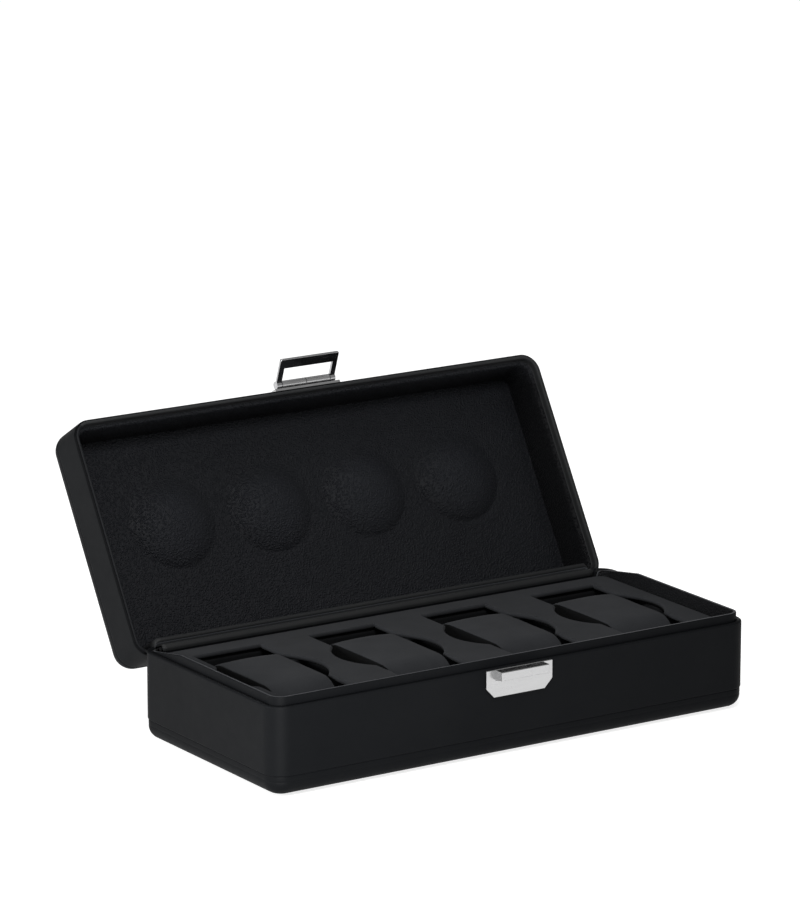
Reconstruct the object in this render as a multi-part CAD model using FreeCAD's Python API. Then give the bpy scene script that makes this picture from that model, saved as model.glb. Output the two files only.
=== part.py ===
import FreeCAD, Part
import math
import os

# Watch box for four watches: a leather-covered board case with a hinged lid,
# a suede insert with four lift-out pillows, and a hasp that swings over a nose.
# Frame: origin at the centre of the underside, +X along the front, +Y to the
# hinge, +Z up, millimetres. The lid is modelled closed and then swung open.

# ---- driving dimensions ------------------------------------------------------
W = 320.0            # outer width
D = 142.0            # outer depth
R_CORNER = 11.0      # plan radius of the outer corners
T_LEATHER = 1.0      # leather thickness
GLUE = 0.1           # glue line beside curved faces

Z_SOLE = 0.8         # felt sole thickness
Z_SEAM = 12.4        # bottom pan meets wall leather
PAN_INSET = 1.0      # pan stands this far inside the wall leather
R_BOTTOM = 7.5       # rounding of the bottom edge
Z_RIM = 52.0         # top of the outer walls
Z_LIP = 56.7         # top of the inner lip
LEDGE = 3.0          # outer face to the lip's outer face
T_LIP = 2.0          # lip thickness
Z_REBATE = 44.0      # foot of the lip in the board
T_BOARD = 4.0        # base board wall
Z_FLOOR = 6.0        # top of the board floor
LIP_SLOPE = ((33.0, 56.7), (66.0, 51.0))   # lip falls towards the hinge (y, z)

Z_BACK = 46.6        # lowered top of the back wall
NOTCH_X = 150.5      # half width of the lowered back wall

HINGE_Y = 69.5       # lid hinge axis
HINGE_Z = 49.0
R_KNUCKLE = 1.8
R_PIN = 0.9
RUN_FIT = 0.05       # radial clearance where a pin turns
HINGE_HALF = 140.0
N_KNUCKLES = 14
KNUCKLE_GAP = 0.5
T_LEAF = 1.0
LEAF_H = 13.0

OPEN_DEG = 121.0     # lid angle from closed, as it stands in the rest pose

LID_GAP = 0.4        # lid rim to base rim when closed
Z_LID = Z_RIM + LID_GAP
L_LID = 35.0         # lid height
R_TOP = 10.5         # rounding of the lid's upper edges
LID_WALL = 2.6       # lid rim beside the lip
LID_BOARD = 3.0      # lid board wall
Z_LID_STEP = 57.6    # rim rebate depth ends here (closed)
LID_IN_X = 153.5     # inner faces of the lid lining
LID_IN_Y = 64.5
LID_IN_BACK = 61.9
SKIRT_Z = 49.4       # lining skirt in front of the hinge (closed)
SKIRT_Y = 65.2
GUSSET_OUT, GUSSET_IN = 3.75, 2.95   # leather strip curled over the barrel: radii about the hinge axis
GUSSET_END = 117.0   # where the curl ends, degrees from +Y
Z_PANEL = 80.5       # face of the padded panel (closed)

DOME_X = (-98.1, -32.7, 32.7, 98.1)
DOME_Y = -10.7
DOME_R = 28.2
DOME_H = 8.0

Z_INSERT = 48.6      # top of the suede panel
T_INSERT = 4.2
WELL_X = (-114.75, -38.25, 38.25, 114.75)
WELL_Y = 3.0
WELL_W = 42.5
WELL_L = 94.0
R_FINGER = 31.0      # finger cut-outs beside each pillow
PILLOW_W = 37.6
PILLOW_L = 80.0
PILLOW_Z0 = 7.4
PILLOW_Z1 = 49.2

CATCH_HALF = 22.2    # half width of the catch and hasp plates
T_PLATE = 1.5
HASP_Y = -75.1       # hasp pivot (closed)
HASP_Z = 56.0
HASP_OPEN_DEG = 40.0 # hasp swung out from the front, rest pose
R_HASP = 2.3
HASP_IN = 11.5       # pivot to the inner edge of the cross bar
HASP_OUT = 17.6
HASP_T = 1.6
HASP_WIN = 16.6      # half width of the window

V = FreeCAD.Vector
os.makedirs("parts", exist_ok=True)


# ---- helpers -----------------------------------------------------------------
def rrect(hx, hy, r, z0, z1, cy=0.0):
    """Prism on a rounded rectangle centred on x = 0, y = cy."""
    if r <= 0:
        return Part.makeBox(2 * hx, 2 * hy, z1 - z0, V(-hx, cy - hy, z0))
    c = r * (1 - math.sqrt(0.5))
    e = []
    def ln(a, b):
        e.append(Part.makeLine(V(a[0], cy + a[1], z0), V(b[0], cy + b[1], z0)))
    def ar(a, m, b):
        e.append(Part.Arc(V(a[0], cy + a[1], z0), V(m[0], cy + m[1], z0),
                          V(b[0], cy + b[1], z0)).toShape())
    ln((-hx + r, -hy), (hx - r, -hy))
    ar((hx - r, -hy), (hx - c, -hy + c), (hx, -hy + r))
    ln((hx, -hy + r), (hx, hy - r))
    ar((hx, hy - r), (hx - c, hy - c), (hx - r, hy))
    ln((hx - r, hy), (-hx + r, hy))
    ar((-hx + r, hy), (-hx + c, hy - c), (-hx, hy - r))
    ln((-hx, hy - r), (-hx, -hy + r))
    ar((-hx, -hy + r), (-hx + c, -hy + c), (-hx + r, -hy))
    return Part.Face(Part.Wire(e)).extrude(V(0, 0, z1 - z0))


def box(x0, x1, y0, y1, z0, z1):
    return Part.makeBox(x1 - x0, y1 - y0, z1 - z0, V(x0, y0, z0))


def cyl_x(x0, x1, y, z, r):
    return Part.makeCylinder(r, x1 - x0, V(x0, y, z), V(1, 0, 0))


def cyl_y(x, y0, y1, z, r):
    return Part.makeCylinder(r, y1 - y0, V(x, y0, z), V(0, 1, 0))


def poly_yz(pts, x0, x1):
    w = Part.makePolygon([V(x0, a, b) for a, b in pts] + [V(x0, *pts[0])])
    return Part.Face(w).extrude(V(x1 - x0, 0, 0))


def poly_xz(pts, y0, y1):
    w = Part.makePolygon([V(a, y0, b) for a, b in pts] + [V(pts[0][0], y0, pts[0][1])])
    return Part.Face(w).extrude(V(0, y1 - y0, 0))


def edges_at_z(s, z, tol=1e-4):
    return [e for e in s.Edges
            if abs(e.BoundBox.ZMin - z) < tol and abs(e.BoundBox.ZMax - z) < tol]


def one(s):
    s = s.removeSplitter()
    if s.ShapeType == "Compound" and len(s.Solids) == 1:
        s = s.Solids[0]
    return s


placed = {}


def keep(name, s, body="base"):
    s = one(s) if not isinstance(s, list) else Part.makeCompound(s)
    placed[name] = (s, body)
    return s


hx, hy = W / 2, D / 2

# ---- base --------------------------------------------------------------------
lip_hx, lip_hy, lip_r = hx - LEDGE, hy - LEDGE, R_CORNER - LEDGE
cav_hx, cav_hy, cav_r = lip_hx - T_LIP, lip_hy - T_LIP, lip_r - T_LIP
cavity = rrect(cav_hx, cav_hy, cav_r, Z_FLOOR, 90.0)

# the rim falls away at the back between the two corner posts
notch = box(-NOTCH_X, NOTCH_X, 60.0, 90.0, Z_BACK, 90.0)
notch_in = box(-NOTCH_X - T_LEATHER, NOTCH_X + T_LEATHER, 60.0, 90.0,
               Z_BACK - T_LEATHER, 90.0)
a_open = math.radians(OPEN_DEG)
m_y, m_z = math.cos(a_open), -math.sin(a_open)   # lid back face normal when open
w_y, w_z = math.sin(a_open), math.cos(a_open)
stop = hy - HINGE_Y + 0.35                       # clear of the open lid's back
sy, sz = HINGE_Y + stop * m_y, HINGE_Z + stop * m_z
stop_cut = poly_yz([(sy + 0.4 * w_y, sz + 0.4 * w_z), (sy + 20 * w_y, sz + 20 * w_z),
                    (sy + 20 * w_y - 20 * m_y, sz + 20 * w_z - 20 * m_z),
                    (sy + 0.4 * w_y - 20 * m_y, sz + 0.4 * w_z - 20 * m_z)],
                   -NOTCH_X, NOTCH_X)

# inner lip frame: stands in a rebate of the board, lower towards the hinge
lip = rrect(lip_hx, lip_hy, lip_r, Z_REBATE, Z_LIP).cut(
    rrect(cav_hx, cav_hy, cav_r, Z_REBATE - 1, Z_LIP + 1))
(sy0, sz0), (sy1, sz1) = LIP_SLOPE
lip = lip.cut(poly_yz([(sy0, sz0), (sy1, sz1), (80, sz1), (80, 70), (sy0, 70)], -hx, hx))
lip = lip.cut(box(-NOTCH_X - T_LEATHER, NOTCH_X + T_LEATHER, 60.0, 90.0, 0, 90))
keep("base_liner_frame", lip)
lip_room = rrect(lip_hx, lip_hy, lip_r, Z_REBATE, 90).cut(
    rrect(cav_hx, cav_hy, cav_r, Z_REBATE - 1, 91)).cut(
    box(-NOTCH_X - T_LEATHER, NOTCH_X + T_LEATHER, 60.0, 91.0, 0, 92))

# leaf pocket of the hinge in the back wall
leaf_b = box(-HINGE_HALF, HINGE_HALF, HINGE_Y - T_LEAF / 2, HINGE_Y + T_LEAF / 2,
             HINGE_Z - R_KNUCKLE - 0.5 - LEAF_H, HINGE_Z)

in_r = R_CORNER - T_LEATHER
inner_hi = rrect(hx - T_LEATHER - GLUE, hy - T_LEATHER - GLUE, in_r - GLUE,
                 Z_SEAM, Z_RIM - T_LEATHER)
low_hx, low_hy, low_r = hx - PAN_INSET - T_LEATHER, hy - PAN_INSET - T_LEATHER, in_r - PAN_INSET
inner_lo = rrect(low_hx - GLUE, low_hy - GLUE, low_r - GLUE, Z_SOLE + T_LEATHER, Z_SEAM)
inner_lo = inner_lo.makeFillet(R_BOTTOM - T_LEATHER - GLUE,
                               edges_at_z(inner_lo, Z_SOLE + T_LEATHER))
board = inner_hi.fuse(inner_lo).cut(cavity).cut(lip_room).cut(notch_in)
board = board.cut(leaf_b).cut(stop_cut.translated(V(0, -T_LEATHER * 0.6, -T_LEATHER * 0.8)))

outer_hi = rrect(hx, hy, R_CORNER, Z_SEAM, Z_RIM)
outer_hi = outer_hi.makeFillet(T_LEATHER, edges_at_z(outer_hi, Z_RIM))
outer_hi = outer_hi.makeFillet(0.6, edges_at_z(outer_hi, Z_SEAM))
inner_skin = rrect(hx - T_LEATHER, hy - T_LEATHER, in_r, Z_SEAM - 1, Z_RIM - T_LEATHER).cut(notch_in)
wall_leather = outer_hi.cut(notch).cut(inner_skin).cut(lip_room)
wall_leather = wall_leather.cut(rrect(cav_hx, cav_hy, cav_r, 0, 90))
wall_leather = wall_leather.cut(stop_cut).cut(leaf_b)

pan = rrect(hx - PAN_INSET, hy - PAN_INSET, in_r, Z_SOLE, Z_SEAM)
pan = pan.makeFillet(R_BOTTOM, edges_at_z(pan, Z_SOLE))
pan_in = rrect(low_hx, low_hy, low_r, Z_SOLE + T_LEATHER, Z_SEAM + 1)
pan_in = pan_in.makeFillet(R_BOTTOM - T_LEATHER, edges_at_z(pan_in, Z_SOLE + T_LEATHER))
keep("base_bottom_leather", pan.cut(pan_in))
keep("base_sole", rrect(hx - 15, hy - 15, 4.0, 0, Z_SOLE))

# suede insert: one panel with four shaped cut-outs on rails and dividers
pan_y0, pan_y1 = -cav_hy + 0.3, 65.4
panel = rrect(cav_hx - 0.3, (pan_y1 - pan_y0) / 2, cav_r - 0.5,
              Z_INSERT - T_INSERT, Z_INSERT, (pan_y0 + pan_y1) / 2)
for x in WELL_X:
    c = rrect(WELL_W / 2, WELL_L / 2, 2.0, 0, 90, WELL_Y)
    c.translate(V(x, 0, 0))
    c = c.fuse(Part.makeCylinder(R_FINGER, 90, V(x, WELL_Y, 0)))
    panel = panel.cut(c)
panel = one(panel)
try:
    rim_edges = [e for e in edges_at_z(panel, Z_INSERT)
                 if e.BoundBox.YMin > pan_y0 + 5 and e.BoundBox.YMax < pan_y1 - 5
                 and e.BoundBox.XMin > -cav_hx + 5 and e.BoundBox.XMax < cav_hx - 5]
    p2 = panel.makeFillet(0.7, rim_edges)
    panel = p2 if p2.isValid() else panel
except Exception:
    pass
keep("insert_panel", panel)
z_w0, z_w1 = Z_FLOOR + 1.0, Z_INSERT - T_INSERT
rail_f, rail_b = -52.0, 51.0
keep("well_floor", rrect(cav_hx - 0.3, cav_hy - 0.3, cav_r - 0.5, Z_FLOOR, z_w0))
keep("well_rail_front", box(-cav_hx + 5, cav_hx - 5, -64.8, rail_f, z_w0, z_w1))
keep("well_rail_back", box(-cav_hx + 5, cav_hx - 5, rail_b, 64.8, z_w0, z_w1))
div_x = [(-cav_hx + 0.5, -147.2), (-80.5, -72.5), (-4.0, 4.0), (72.5, 80.5), (147.2, cav_hx - 0.5)]
for i, (a, b) in enumerate(div_x):
    keep("well_divider_%d" % (i + 1), box(a, b, rail_f, rail_b, z_w0, z_w1))

# catch on the front: plate with cut lower corners and a folded, open-topped nose
y_f = -hy
plate = poly_xz([(-CATCH_HALF, 51.3), (CATCH_HALF, 51.3), (CATCH_HALF, 40.8), (17.0, 35.4),
                 (-17.0, 35.4), (-CATCH_HALF, 40.8)], y_f - T_PLATE, y_f)
plate = plate.makeFillet(0.3, [e for e in plate.Edges
                               if abs(e.BoundBox.YMax - (y_f - T_PLATE)) < 1e-4])
nose_y = y_f - T_PLATE - 5.9
nose = poly_yz([(y_f - T_PLATE, 45.1), (nose_y, 46.1), (nose_y, 51.0), (y_f - T_PLATE, 51.0)], -16.0, 16.0)
nose = nose.makeFillet(0.35, [e for e in nose.Edges
                              if e.BoundBox.YMax < y_f - T_PLATE - 1.0])
nose = nose.cut(box(-14.7, 14.7, nose_y + 1.2, y_f - T_PLATE + 1, 47.4, 60.0))
studs_c = [cyl_y(x, y_f, y_f + 6.0, 39.5, 1.3) for x in (-12.0, 12.0)]
for s in studs_c:
    wall_leather = wall_leather.cut(s)
    board = board.cut(s)
back_c = box(-17.0, 17.0, -cav_hy, -cav_hy + 0.8, 35.5, 43.5)
for s in studs_c:
    back_c = back_c.cut(s)
keep("catch_plate", plate)
keep("catch_nose", nose)
keep("catch_studs", studs_c)
keep("catch_back_plate", back_c)

# hinge: knuckles alternate between the two leaves on one pin
pitch = 2 * HINGE_HALF / N_KNUCKLES
def knuckles(first, bore):
    out = []
    for i in range(first, N_KNUCKLES, 2):
        x0 = -HINGE_HALF + i * pitch + KNUCKLE_GAP / 2
        x1 = x0 + pitch - KNUCKLE_GAP
        out.append((x0, x1))
    return out
def leaf(first, bore, z0, z1, root):
    s = box(-HINGE_HALF, HINGE_HALF, HINGE_Y - T_LEAF / 2, HINGE_Y + T_LEAF / 2, z0, z1)
    for x0, x1 in knuckles(first, bore):
        s = s.fuse(box(x0, x1, HINGE_Y - T_LEAF / 2, HINGE_Y + T_LEAF / 2,
                       min(HINGE_Z, root), max(HINGE_Z, root)))
        s = s.fuse(cyl_x(x0, x1, HINGE_Y, HINGE_Z, R_KNUCKLE))
    return s.cut(cyl_x(-hx, hx, HINGE_Y, HINGE_Z, bore))
root_b = HINGE_Z - R_KNUCKLE - 0.5
root_l = HINGE_Z + R_KNUCKLE + 0.5
leaf_base = leaf(0, R_PIN, root_b - LEAF_H, root_b, root_b)
leaf_lid = leaf(1, R_PIN + RUN_FIT, root_l, root_l + LEAF_H, root_l)
screw_x = [-125.0, -75.0, -25.0, 25.0, 75.0, 125.0]
def screw(x, z):
    s = cyl_y(x, HINGE_Y - T_LEAF / 2 - 2.4, HINGE_Y + T_LEAF / 2, z, 0.8)
    return s.fuse(cyl_y(x, HINGE_Y, HINGE_Y + T_LEAF / 2, z, 1.5)).removeSplitter()
screws_b = [screw(x, 39.0) for x in screw_x]
screws_l = [screw(x, 60.4) for x in screw_x]
for s in screws_b:
    leaf_base = leaf_base.cut(s)
    board = board.cut(s)
def about_hinge(r, deg):
    return V(-149.0, HINGE_Y + r * math.cos(math.radians(deg)), HINGE_Z + r * math.sin(math.radians(deg)))
g_mid = (180.0 + GUSSET_END) / 2
g0, g1, g2 = (about_hinge(GUSSET_OUT, a) for a in (180.0, g_mid, GUSSET_END))
g3, g4, g5 = (about_hinge(GUSSET_IN, a) for a in (GUSSET_END, g_mid, 180.0))
g6, g7 = V(-149.0, g5.y, Z_BACK), V(-149.0, g0.y, Z_BACK)
gusset = Part.Face(Part.Wire([Part.Arc(g0, g1, g2).toShape(), Part.makeLine(g2, g3), Part.Arc(g3, g4, g5).toShape(),
                              Part.makeLine(g5, g6), Part.makeLine(g6, g7), Part.makeLine(g7, g0)])).extrude(V(298.0, 0, 0))
keep("hinge_gusset", gusset)
keep("hinge_leaf_base", leaf_base)
keep("hinge_pin", cyl_x(-HINGE_HALF, HINGE_HALF, HINGE_Y, HINGE_Z, R_PIN))
keep("hinge_screws_base", screws_b)
board = board.cut(leaf_b)
# the board case is glued up from a floor and four walls
keep("base_board_floor", board.common(box(-hx, hx, -hy, hy, 0, Z_FLOOR)))
keep("base_board_left", board.common(box(-hx, -cav_hx, -hy, hy, Z_FLOOR, 90)))
keep("base_board_right", board.common(box(cav_hx, hx, -hy, hy, Z_FLOOR, 90)))
keep("base_board_front", board.common(box(-cav_hx, cav_hx, -hy, 0, Z_FLOOR, 90)))
keep("base_board_back", board.common(box(-cav_hx, cav_hx, 0, hy, Z_FLOOR, 90)))
keep("base_wall_leather", wall_leather)

# ---- pillows -----------------------------------------------------------------
def pillow(x, grow):
    h0, h1 = PILLOW_Z0 - grow, PILLOW_Z1 + grow
    s = box(x - PILLOW_W / 2 - grow, x + PILLOW_W / 2 + grow,
            WELL_Y - PILLOW_L / 2 - grow, WELL_Y + PILLOW_L / 2 + grow, h0, h1)
    long_e = [e for e in s.Edges if e.BoundBox.XLength > 5]
    s = s.makeFillet(18.5 + grow, long_e)
    side = [e for e in s.Edges if e.BoundBox.XLength < 1e-3]
    return s.makeFillet(4.0 + grow * 0.9, side)
for i, x in enumerate(WELL_X):
    core = pillow(x, -1.6)
    keep("pillow_%d_foam" % (i + 1), core, "pillow_%d" % (i + 1))
    keep("pillow_%d_cover" % (i + 1), pillow(x, 0.0).cut(pillow(x, -1.4)), "pillow_%d" % (i + 1))

# ---- lid (closed) ------------------------------------------------------------
z_top = Z_LID + L_LID
lid_out = rrect(hx, hy, R_CORNER, Z_LID, z_top)
lid_out = lid_out.makeFillet(R_TOP, edges_at_z(lid_out, z_top))
lid_out = lid_out.makeFillet(1.0, edges_at_z(lid_out, Z_LID))
def lid_core(g):
    s = rrect(hx - T_LEATHER - g, hy - T_LEATHER - g, in_r - g, Z_LID + T_LEATHER, z_top - T_LEATHER)
    return s.makeFillet(R_TOP - T_LEATHER - g, edges_at_z(s, z_top - T_LEATHER))
rim_in = rrect(hx - LID_WALL, hy - LID_WALL, R_CORNER - LID_WALL, Z_LID - 5, Z_LID_STEP)
lid_leather = lid_out.cut(lid_core(0.0)).cut(rim_in)
lb_hx, lb_hy, lb_r = hx - T_LEATHER - LID_BOARD, hy - T_LEATHER - LID_BOARD, in_r - LID_BOARD
lid_board = lid_core(GLUE).cut(rim_in).cut(
    rrect(lb_hx, lb_hy, lb_r, Z_LID - 5, z_top - T_LEATHER - LID_BOARD))

leaf_l_room = box(-HINGE_HALF, HINGE_HALF, HINGE_Y - T_LEAF / 2, HINGE_Y + T_LEAF / 2,
                  HINGE_Z, root_l + LEAF_H)
lid_leather = lid_leather.cut(leaf_l_room)
lid_board = lid_board.cut(leaf_l_room)

# lining: inner walls, a thin edge strip over the rebate and a skirt in front of the hinge
z_l0 = Z_LID_STEP - 0.5
ring = rrect(lb_hx, lb_hy, lb_r, z_l0, Z_PANEL)
lining = {
    "left": ring.common(box(-hx, -LID_IN_X, -hy, hy, z_l0, Z_PANEL)),
    "right": ring.common(box(LID_IN_X, hx, -hy, hy, z_l0, Z_PANEL)),
    # the front strip leaves room for the hasp's back plate, the back strip for the screw tips
    "front": box(-152.5, 152.5, -lb_hy + 1.2, -LID_IN_Y, z_l0, Z_PANEL),
    "back": box(-151.0, 151.0, LID_IN_BACK, lb_hy - 0.5, z_l0, Z_PANEL),
}
edge_strip = rrect(hx - LID_WALL - 0.1, hy - LID_WALL - 0.1, R_CORNER - LID_WALL - 0.1,
                   z_l0, Z_LID_STEP).cut(rrect(lb_hx, lb_hy, lb_r, 0, 90))
skirt = box(-149.0, 149.0, LID_IN_BACK, SKIRT_Y, SKIRT_Z, z_l0)
skirt = skirt.makeFillet(1.0, edges_at_z(skirt, SKIRT_Z))

zb = Z_PANEL + 1.2
zt = z_top - T_LEATHER - LID_BOARD
panel_l = rrect(lb_hx - 0.2, lb_hy - 0.2, lb_r - 0.2, Z_PANEL, zb)
rs = (DOME_R ** 2 + DOME_H ** 2) / (2 * DOME_H)
pads = []
for x in DOME_X:
    c = V(x, DOME_Y, Z_PANEL - DOME_H + rs)
    keep_box = box(x - 40, x + 40, DOME_Y - 40, DOME_Y + 40, Z_PANEL - 30, zb)
    panel_l = panel_l.fuse(Part.makeSphere(rs, c).common(keep_box))
for x in DOME_X:
    c = V(x, DOME_Y, Z_PANEL - DOME_H + rs)
    keep_box = box(x - 40, x + 40, DOME_Y - 40, DOME_Y + 40, Z_PANEL - 30, zb)
    panel_l = panel_l.cut(Part.makeSphere(rs - 1.2, c))
    pads.append(Part.makeSphere(rs - 1.4, c).common(keep_box))

h_plate = poly_xz([(-CATCH_HALF, 53.8), (CATCH_HALF, 53.8), (CATCH_HALF, 61.2), (17.0, 66.6),
                   (-17.0, 66.6), (-CATCH_HALF, 61.2)], y_f - T_PLATE, y_f)
h_plate = h_plate.makeFillet(0.3, [e for e in h_plate.Edges
                                   if abs(e.BoundBox.YMax - (y_f - T_PLATE)) < 1e-4])
for x0, x1 in ((-16.2, -0.2), (0.2, 16.2)):
    h_plate = h_plate.fuse(box(x0, x1, HASP_Y, y_f - T_PLATE, HASP_Z, HASP_Z + R_HASP))
    h_plate = h_plate.fuse(cyl_x(x0, x1, HASP_Y, HASP_Z, R_HASP))
h_plate = h_plate.cut(cyl_x(-30, 30, HASP_Y, HASP_Z, R_PIN))
studs_h = [cyl_y(x, y_f, y_f + 5.0, 62.0, 1.3) for x in (-12.0, 12.0)]
back_h = box(-17.0, 17.0, -lb_hy, -lb_hy + 0.8, 59.0, 65.5)
for s in studs_h:
    lid_leather = lid_leather.cut(s)
    lid_board = lid_board.cut(s)
    back_h = back_h.cut(s)
for s in screws_l:
    leaf_lid = leaf_lid.cut(s)
    lid_board = lid_board.cut(s)

frame = box(-HASP_WIN - 3.4, HASP_WIN + 3.4, HASP_Y - HASP_T / 2, HASP_Y + HASP_T / 2,
            HASP_Z - HASP_OUT, HASP_Z)
frame = frame.makeFillet(0.8, [e for e in frame.Edges
                               if e.BoundBox.YLength > 1 and e.BoundBox.ZMax < HASP_Z - 5])
frame = frame.makeFillet(0.3, [e for e in frame.Edges
                               if abs(e.BoundBox.YMax - e.BoundBox.YMin) < 1e-4
                               and e.BoundBox.ZMin < HASP_Z - 1])
for s in (-1, 1):
    x0, x1 = sorted((s * HASP_WIN, s * (HASP_WIN + 3.4)))
    frame = frame.fuse(cyl_x(x0, x1, HASP_Y, HASP_Z, R_HASP))
frame = frame.cut(box(-HASP_WIN, HASP_WIN, HASP_Y - 9, HASP_Y + 9, HASP_Z - HASP_IN, HASP_Z + 9))
frame = frame.cut(cyl_x(-30, 30, HASP_Y, HASP_Z, R_PIN + RUN_FIT))
frame = frame.copy()
frame.rotate(V(0, HASP_Y, HASP_Z), V(1, 0, 0), -HASP_OPEN_DEG)

keep("lid_leather", lid_leather, "lid")
keep("lid_board", lid_board, "lid")
for side, s in lining.items():
    keep("lid_lining_" + side, s, "lid")
keep("lid_lining_edge", edge_strip, "lid")
keep("lid_lining_skirt", skirt, "lid")
keep("lid_panel_leather", panel_l, "lid")
keep("lid_panel_board", rrect(lb_hx - 0.2, lb_hy - 0.2, lb_r - 0.2, zb, zt), "lid")
keep("lid_dome_pads", pads, "lid")
keep("hinge_leaf_lid", leaf_lid, "lid")
keep("hinge_screws_lid", screws_l, "lid")
keep("hasp_plate", h_plate, "lid")
keep("hasp_studs", studs_h, "lid")
keep("hasp_back_plate", back_h, "lid")
keep("hasp_pin", cyl_x(-HASP_WIN - 3.4, HASP_WIN + 3.4, HASP_Y, HASP_Z, R_PIN), "lid")
keep("hasp_frame", frame, "hasp")

# ---- swing the lid to its rest pose and write every piece ----------------------
for name, (s, body) in placed.items():
    s = s.copy()
    if body in ("lid", "hasp"):
        s.rotate(V(0, HINGE_Y, HINGE_Z), V(1, 0, 0), -OPEN_DEG)
    bb = s.BoundBox
    print("%-22s %-9s valid %s solids %d vol %.0f  x %.1f..%.1f y %.1f..%.1f z %.1f..%.1f" % (
        name, body, s.isValid(), len(s.Solids), s.Volume, bb.XMin, bb.XMax, bb.YMin, bb.YMax, bb.ZMin, bb.ZMax))
    s.exportStep("parts/%s.step" % name)
d = math.radians(OPEN_DEG)
py = HINGE_Y + (HASP_Y - HINGE_Y) * math.cos(d) + (HASP_Z - HINGE_Z) * math.sin(d)
pz = HINGE_Z - (HASP_Y - HINGE_Y) * math.sin(d) + (HASP_Z - HINGE_Z) * math.cos(d)
print("hasp pivot at rest y %.3f z %.3f" % (py, pz))
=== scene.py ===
import math

import bmesh
import bpy
import numpy as np
from mathutils import Matrix, Vector, noise


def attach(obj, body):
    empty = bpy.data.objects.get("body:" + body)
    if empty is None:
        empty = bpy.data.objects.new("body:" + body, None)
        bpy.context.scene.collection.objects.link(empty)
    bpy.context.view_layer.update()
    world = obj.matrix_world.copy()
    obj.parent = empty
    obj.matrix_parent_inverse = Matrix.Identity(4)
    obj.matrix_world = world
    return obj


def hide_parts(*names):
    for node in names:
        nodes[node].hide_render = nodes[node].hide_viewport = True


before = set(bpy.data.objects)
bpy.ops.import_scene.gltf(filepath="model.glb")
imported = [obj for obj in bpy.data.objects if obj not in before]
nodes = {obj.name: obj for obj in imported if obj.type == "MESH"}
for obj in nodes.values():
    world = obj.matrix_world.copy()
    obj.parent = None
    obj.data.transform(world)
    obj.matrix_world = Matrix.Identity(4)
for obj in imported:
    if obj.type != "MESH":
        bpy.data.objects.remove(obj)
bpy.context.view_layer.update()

scene = bpy.context.scene
MM = 0.001

# ---- sizes shared with the CAD part (mm) ---------------------------------------
HX, HY = 160.0, 71.0
R_CORNER = 11.0
Z_SOLE, Z_SEAM, Z_RIM, Z_LIP = 0.8, 12.4, 52.0, 56.7
Z_BACK, NOTCH_X = 46.6, 150.5
HINGE_Y, HINGE_Z, OPEN_DEG = 69.5, 49.0, 121.0
Z_LID, L_LID, R_TOP = 52.4, 35.0, 10.5
Z_TOP = Z_LID + L_LID
LIN_X, LIN_F, LIN_B, Z_PANEL = 153.5, -64.5, 61.9, 80.5
DOME_X, DOME_Y, DOME_R, DOME_H = (-98.1, -32.7, 32.7, 98.1), -10.7, 28.2, 8.0
WELL_X, WELL_Y, WELL_W, WELL_L, R_FINGER = (-114.75, -38.25, 38.25, 114.75), 3.0, 42.5, 94.0, 31.0
Z_INSERT, T_INSERT = 48.6, 4.2
PILLOW_W, PILLOW_L, PILLOW_Z0, PILLOW_Z1 = 37.6, 80.0, 7.4, 49.2


# ---- mesh helpers ----------------------------------------------------------------
def add_object(name, verts_mm, faces, smooth=True):
    me = bpy.data.meshes.new(name)
    me.from_pydata([tuple(v) for v in np.asarray(verts_mm, float) * MM], [], [tuple(int(i) for i in f) for f in faces])
    me.validate()
    me.update()
    ob = bpy.data.objects.new(name, me)
    scene.collection.objects.link(ob)
    if smooth:
        me.shade_smooth()
    return ob


def outward(ob):
    bm = bmesh.new()
    bm.from_mesh(ob.data)
    bmesh.ops.recalc_face_normals(bm, faces=bm.faces)
    bm.to_mesh(ob.data)
    bm.free()
    ob.data.update()
    return ob


def outline(hx, y0, y1, r, step=3.0, narc=14):
    """Rounded rectangle as corner-centre points and outward normals: a point at inward offset d is C + (r - d) N."""
    C, N = [], []
    corners = [(hx - r, y0 + r, -90), (hx - r, y1 - r, 0), (-hx + r, y1 - r, 90), (-hx + r, y0 + r, 180)]
    for k, (cx, cy, a0) in enumerate(corners):
        for i in range(narc + 1):
            a = math.radians(a0 + 90.0 * i / narc)
            C.append((cx, cy))
            N.append((math.cos(a), math.sin(a)))
        nx, ny, _ = corners[(k + 1) % 4]
        length = math.hypot(nx - cx, ny - cy)
        n = max(2, int(length / step))
        # extra points close to both ends keep the flat sides flat under smooth shading
        ts = sorted(set([0.6 / length, 1 - 0.6 / length] + [j / n for j in range(1, n)]))
        a = math.radians(a0 + 90)
        for t in ts:
            C.append((cx + (nx - cx) * t, cy + (ny - cy) * t))
            N.append((math.cos(a), math.sin(a)))
    return np.array(C), np.array(N), r


def sweep(path, profile, zfun=None, dfun=None):
    """Grid of points: the profile of (inward offset, z) carried round the outline."""
    C, N, r = path
    prof = np.array(profile, float)
    d = np.repeat(prof[None, :, 0], len(C), 0)
    z = np.repeat(prof[None, :, 1], len(C), 0)
    if dfun is not None:
        d = dfun(C, N, d, z)
    P = np.zeros((len(C), len(prof), 3))
    P[:, :, 0] = C[:, None, 0] + (r - d) * N[:, None, 0]
    P[:, :, 1] = C[:, None, 1] + (r - d) * N[:, None, 1]
    if zfun is not None:
        z = zfun(P[:, :, 0], P[:, :, 1], z)
    P[:, :, 2] = z
    return P


def grid_faces(n, m, wrap_n=True, wrap_m=False, base=0):
    f = []
    for i in range(n if wrap_n else n - 1):
        i2 = (i + 1) % n
        for j in range(m if wrap_m else m - 1):
            j2 = (j + 1) % m
            f.append((base + i * m + j, base + i2 * m + j, base + i2 * m + j2, base + i * m + j2))
    return f


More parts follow.
